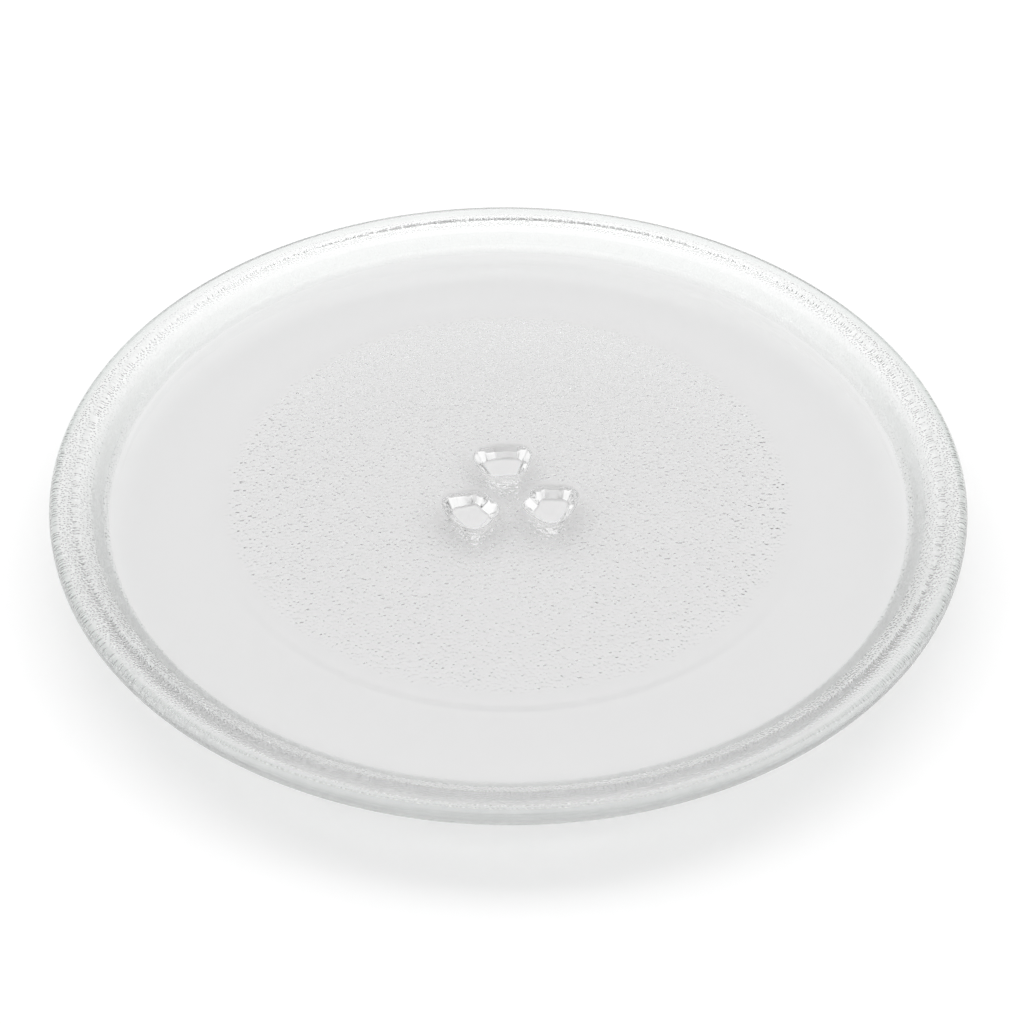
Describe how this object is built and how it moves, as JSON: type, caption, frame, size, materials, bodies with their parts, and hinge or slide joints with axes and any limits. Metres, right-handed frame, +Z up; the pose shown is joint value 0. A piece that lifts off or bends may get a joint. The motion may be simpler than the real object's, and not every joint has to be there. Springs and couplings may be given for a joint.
{
  "type": "microwave turntable plate",
  "caption": "Round clear pressed-glass turntable plate for a microwave oven: a shallow dish with an upturned rim, a stippled underside, a smooth roller track and drive lugs.",
  "frame": {"origin": "on the plate's axis, in the plane of the lug tips that the plate stands on", "axes": "+Z up along the plate's axis, +Y from the axis through one of the drive lugs, +X to the right of that lug as seen from above with +Y away"},
  "size_m": [0.245, 0.245, 0.0184],
  "materials": {
    "glass": "clear pressed soda-lime glass with a faint green tint, stippled underneath"
  },
  "bodies": {
    "root": {"turntable_plate": "glass"}
  },
  "joints": []
}
